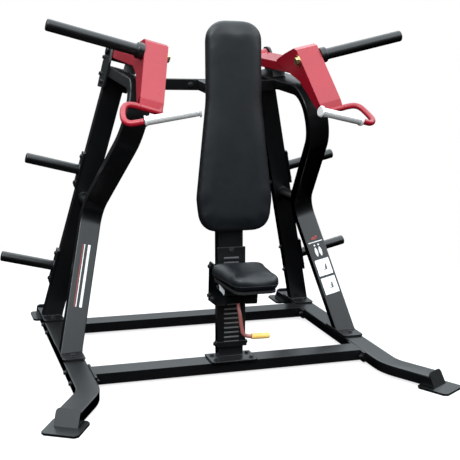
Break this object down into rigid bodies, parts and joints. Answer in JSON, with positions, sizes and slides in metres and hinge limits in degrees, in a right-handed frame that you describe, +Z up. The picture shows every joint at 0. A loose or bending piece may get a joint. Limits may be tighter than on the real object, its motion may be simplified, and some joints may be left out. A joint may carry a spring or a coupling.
{
  "type": "chest press machine",
  "caption": "Plate-loaded chest press machine with a leaned side frame, two converging lever arms on rear pivots, weight horns, a padded back rest and a sliding padded seat.",
  "frame": {"origin": "middle of the footprint at floor height", "axes": "+X to the right seen from the front, +Y to the rear, +Z up; the front faces -Y"},
  "size_m": [1.8918, 1.6754, 1.5669],
  "materials": {
    "frame": "satin black powder coat",
    "arm": "semi-gloss red powder coat",
    "vinyl": "matt grained vinyl",
    "board": "black painted plywood",
    "chrome": "polished",
    "zinc": "yellow zinc plated",
    "rubber": "matt",
    "lever": "dark red-brown paint",
    "yellow": "soft yellow grip",
    "nylon": "matt",
    "placard": "satin, no wording"
  },
  "bodies": {
    "frame": {"right_front_upright": "frame", "right_rear_upright": "frame", "right_round_brace": "frame", "right_upper_storage_horn": "frame", "right_lower_storage_horn": "frame", "right_outer_pivot_ear": "frame", "right_inner_pivot_ear": "frame", "right_pivot_shaft": "frame", "right_stop_bumper": "rubber", "right_floor_rail": "frame", "right_front_foot": "frame", "right_rear_foot": "frame", "right_front_base_plate": "frame", "right_rear_base_plate": "frame", "left_front_upright": "frame", "left_rear_upright": "frame", "left_round_brace": "frame", "left_upper_storage_horn": "frame", "left_lower_storage_horn": "frame", "left_outer_pivot_ear": "frame", "left_inner_pivot_ear": "frame", "left_pivot_shaft": "frame", "left_stop_bumper": "rubber", "left_floor_rail": "frame", "left_front_foot": "frame", "left_rear_foot": "frame", "left_front_base_plate": "frame", "left_rear_base_plate": "frame", "upper_placard": "placard", "lower_placard": "placard", "front_crossbar": "frame", "rear_crossbar": "frame", "top_tie": "frame", "centre_beam": "frame", "centre_post": "frame", "post_base_plate": "frame", "slotted_plate": "frame", "back_pad": "vinyl", "back_board": "board", "upper_back_bracket": "frame", "lower_back_bracket": "frame"},
    "right_arm": {"right_lever_arm": "arm", "right_weight_horn": "frame", "right_horn_bolt": "zinc", "right_handle_tube": "arm", "right_hand_grip": "chrome", "right_grip_cap": "chrome"},
    "left_arm": {"left_lever_arm": "arm", "left_weight_horn": "frame", "left_horn_bolt": "zinc", "left_handle_tube": "arm", "left_hand_grip": "chrome", "left_grip_cap": "chrome"},
    "seat": {"seat_carriage": "frame", "front_glide": "nylon", "rear_glide": "nylon", "seat_board": "board", "seat_pad": "vinyl"},
    "seat_latch": {"latch_lever": "lever", "latch_grip": "yellow"}
  },
  "joints": [
    {"name": "right_arm_hinge", "type": "hinge", "parent": "frame", "child": "right_arm", "pos_m": [0.36009, 0.43468, 1.40464], "axis": [-0.9709, 0, -0.2396], "range_deg": [0, 42]},
    {"name": "left_arm_hinge", "type": "hinge", "parent": "frame", "child": "left_arm", "pos_m": [-0.36009, 0.43468, 1.40464], "axis": [-0.9709, 0, 0.2396], "range_deg": [0, 42]},
    {"name": "seat_slide", "type": "slide", "parent": "frame", "child": "seat", "axis": [0, 0.0814, 0.9967], "range_m": [-0.105, 0.105]},
    {"name": "seat_latch_hinge", "type": "hinge", "parent": "seat", "child": "seat_latch", "pos_m": [-0.014, -0.38332, 0.372], "axis": [-1, 0, 0], "range_deg": [0, 18], "stiffness_Nm_per_rad": 1.5, "springref_deg": -8.59}
  ]
}
